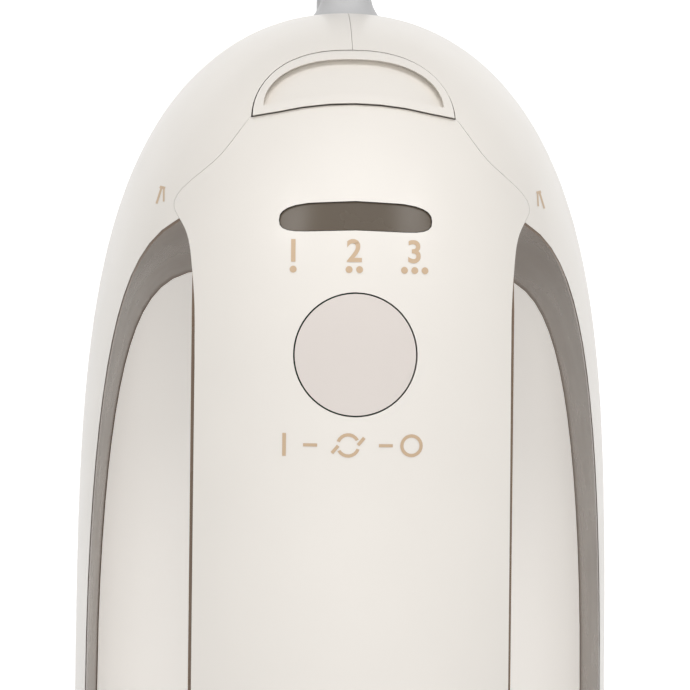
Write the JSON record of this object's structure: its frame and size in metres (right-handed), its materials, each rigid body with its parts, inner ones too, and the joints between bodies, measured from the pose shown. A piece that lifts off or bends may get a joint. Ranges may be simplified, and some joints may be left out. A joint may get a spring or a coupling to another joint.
{
  "type": "hand mixer",
  "caption": "Corded hand mixer standing on its heel, with a closed-loop handle, round push button, speed window, arched eject lever and wire beaters",
  "frame": {"origin": "centre line of the body on the flat heel it stands on", "axes": "+Z from the heel to the nose, -Y the way the handle faces, +Y the way the beaters point, X across the body"},
  "size_m": [0.1202, 0.258, 0.2957],
  "materials": {
    "cream_plastic": "satin",
    "button_plastic": "satin",
    "taupe_plastic": "gloss",
    "smoked_lens": "gloss",
    "grey_rubber": "satin",
    "pad_rubber": "matte",
    "tie_plastic": "matte",
    "chrome": "polished",
    "steel": "brushed",
    "spring_steel": "brushed",
    "lamination_iron": "matte",
    "copper": "satin",
    "brass": "satin",
    "carbon": "matte",
    "black_plastic": "matte",
    "frame_plastic": "matte",
    "gear_nylon": "matte",
    "board_green": "satin",
    "led_clear": "gloss"
  },
  "bodies": {
    "housing": {"body_shell_left": "cream_plastic", "body_shell_right": "cream_plastic", "handle_top_cover": "cream_plastic", "saddle_panel": "cream_plastic", "handle_grip": "taupe_plastic", "opening_liner": "taupe_plastic", "socket_bezels": "taupe_plastic", "speed_window": "smoked_lens", "cord_strain_relief": "grey_rubber", "power_cord": "grey_rubber", "cord_coil": "grey_rubber", "plug_body": "grey_rubber", "heel_pad": "pad_rubber", "cord_tie": "tie_plastic", "front_bearing": "steel", "rear_bearing": "steel", "case_screws": "steel", "button_spring": "spring_steel", "ejector_spring": "spring_steel", "stator_core": "lamination_iron", "field_coils": "copper", "plug_pins": "brass", "spindle_bushes": "brass", "carbon_brushes": "carbon", "brush_holders": "black_plastic", "button_switch": "black_plastic", "front_bracket": "frame_plastic", "rear_bracket": "frame_plastic", "gearbox_frame": "frame_plastic", "control_board": "board_green", "speed_leds": "led_clear"},
    "rotor": {"motor_shaft": "steel", "armature_core": "lamination_iron", "commutator": "copper", "cooling_fan": "black_plastic"},
    "spindle_left": {"worm_wheel_left": "gear_nylon", "spindle_left": "steel"},
    "spindle_right": {"worm_wheel_right": "gear_nylon", "spindle_right": "steel"},
    "beater_left": {"beater_left": "chrome"},
    "beater_right": {"beater_right": "chrome"},
    "ejector": {"eject_lever": "cream_plastic", "ejector_plate": "frame_plastic"},
    "button": {"push_button": "button_plastic"}
  },
  "joints": [
    {"name": "motor_spin", "type": "hinge", "parent": "housing", "child": "rotor", "pos_m": [0, 0.027, 0.1], "axis": [0, 0, 1], "continuous": true},
    {"name": "spindle_left_spin", "type": "hinge", "parent": "housing", "child": "spindle_left", "pos_m": [-0.018, 0.03, 0.157], "axis": [0, 1, 0], "continuous": true},
    {"name": "spindle_right_spin", "type": "hinge", "parent": "housing", "child": "spindle_right", "pos_m": [0.018, 0.03, 0.157], "axis": [0, 1, 0], "continuous": true},
    {"name": "beater_left_eject", "type": "slide", "parent": "spindle_left", "child": "beater_left", "axis": [0, 1, 0], "range_m": [0, 0.005], "stiffness_N_per_m": 400},
    {"name": "beater_right_eject", "type": "slide", "parent": "spindle_right", "child": "beater_right", "axis": [0, 1, 0], "range_m": [0, 0.005]},
    {"name": "lever_press", "type": "slide", "parent": "housing", "child": "ejector", "axis": [0, 1, 0], "range_m": [0, 0.005], "deforming": ["ejector_spring"]},
    {"name": "button_press", "type": "slide", "parent": "housing", "child": "button", "axis": [0, 1, 0], "range_m": [0, 0.001], "stiffness_N_per_m": 500, "deforming": ["button_spring"]}
  ],
  "couplings": [
    {"joint": "spindle_left_spin", "follows": "motor_spin", "ratio": 0.041667},
    {"joint": "spindle_right_spin", "follows": "motor_spin", "ratio": -0.041667},
    {"joint": "beater_right_eject", "follows": "beater_left_eject", "ratio": 1},
    {"joint": "lever_press", "follows": "beater_left_eject", "ratio": 1}
  ]
}
